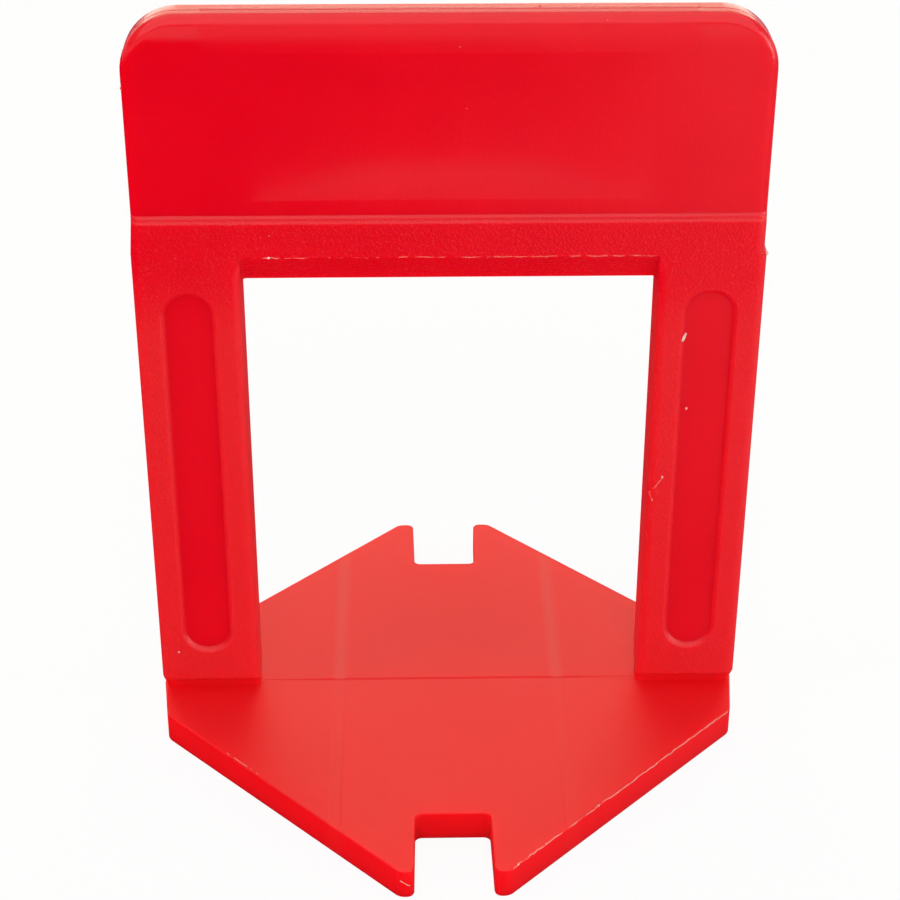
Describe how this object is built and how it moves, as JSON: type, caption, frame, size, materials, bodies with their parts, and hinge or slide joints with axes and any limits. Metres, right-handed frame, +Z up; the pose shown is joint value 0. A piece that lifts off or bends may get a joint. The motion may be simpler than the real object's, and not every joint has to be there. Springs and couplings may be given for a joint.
{
  "type": "tile levelling clip",
  "caption": "Moulded clip with a notched base plate that lies under tiles and an upright frame whose window takes a levelling wedge.",
  "frame": {"origin": "middle of the base plate's underside", "axes": "+X along the tile joint, +Y across the joint towards the back prongs, +Z up along the legs"},
  "size_m": [0.036, 0.037, 0.046],
  "materials": {
    "red_plastic": "satin moulded polypropylene, grained on the legs and smoother on the head"
  },
  "bodies": {
    "root": {"levelling_clip": "red_plastic"}
  },
  "joints": []
}
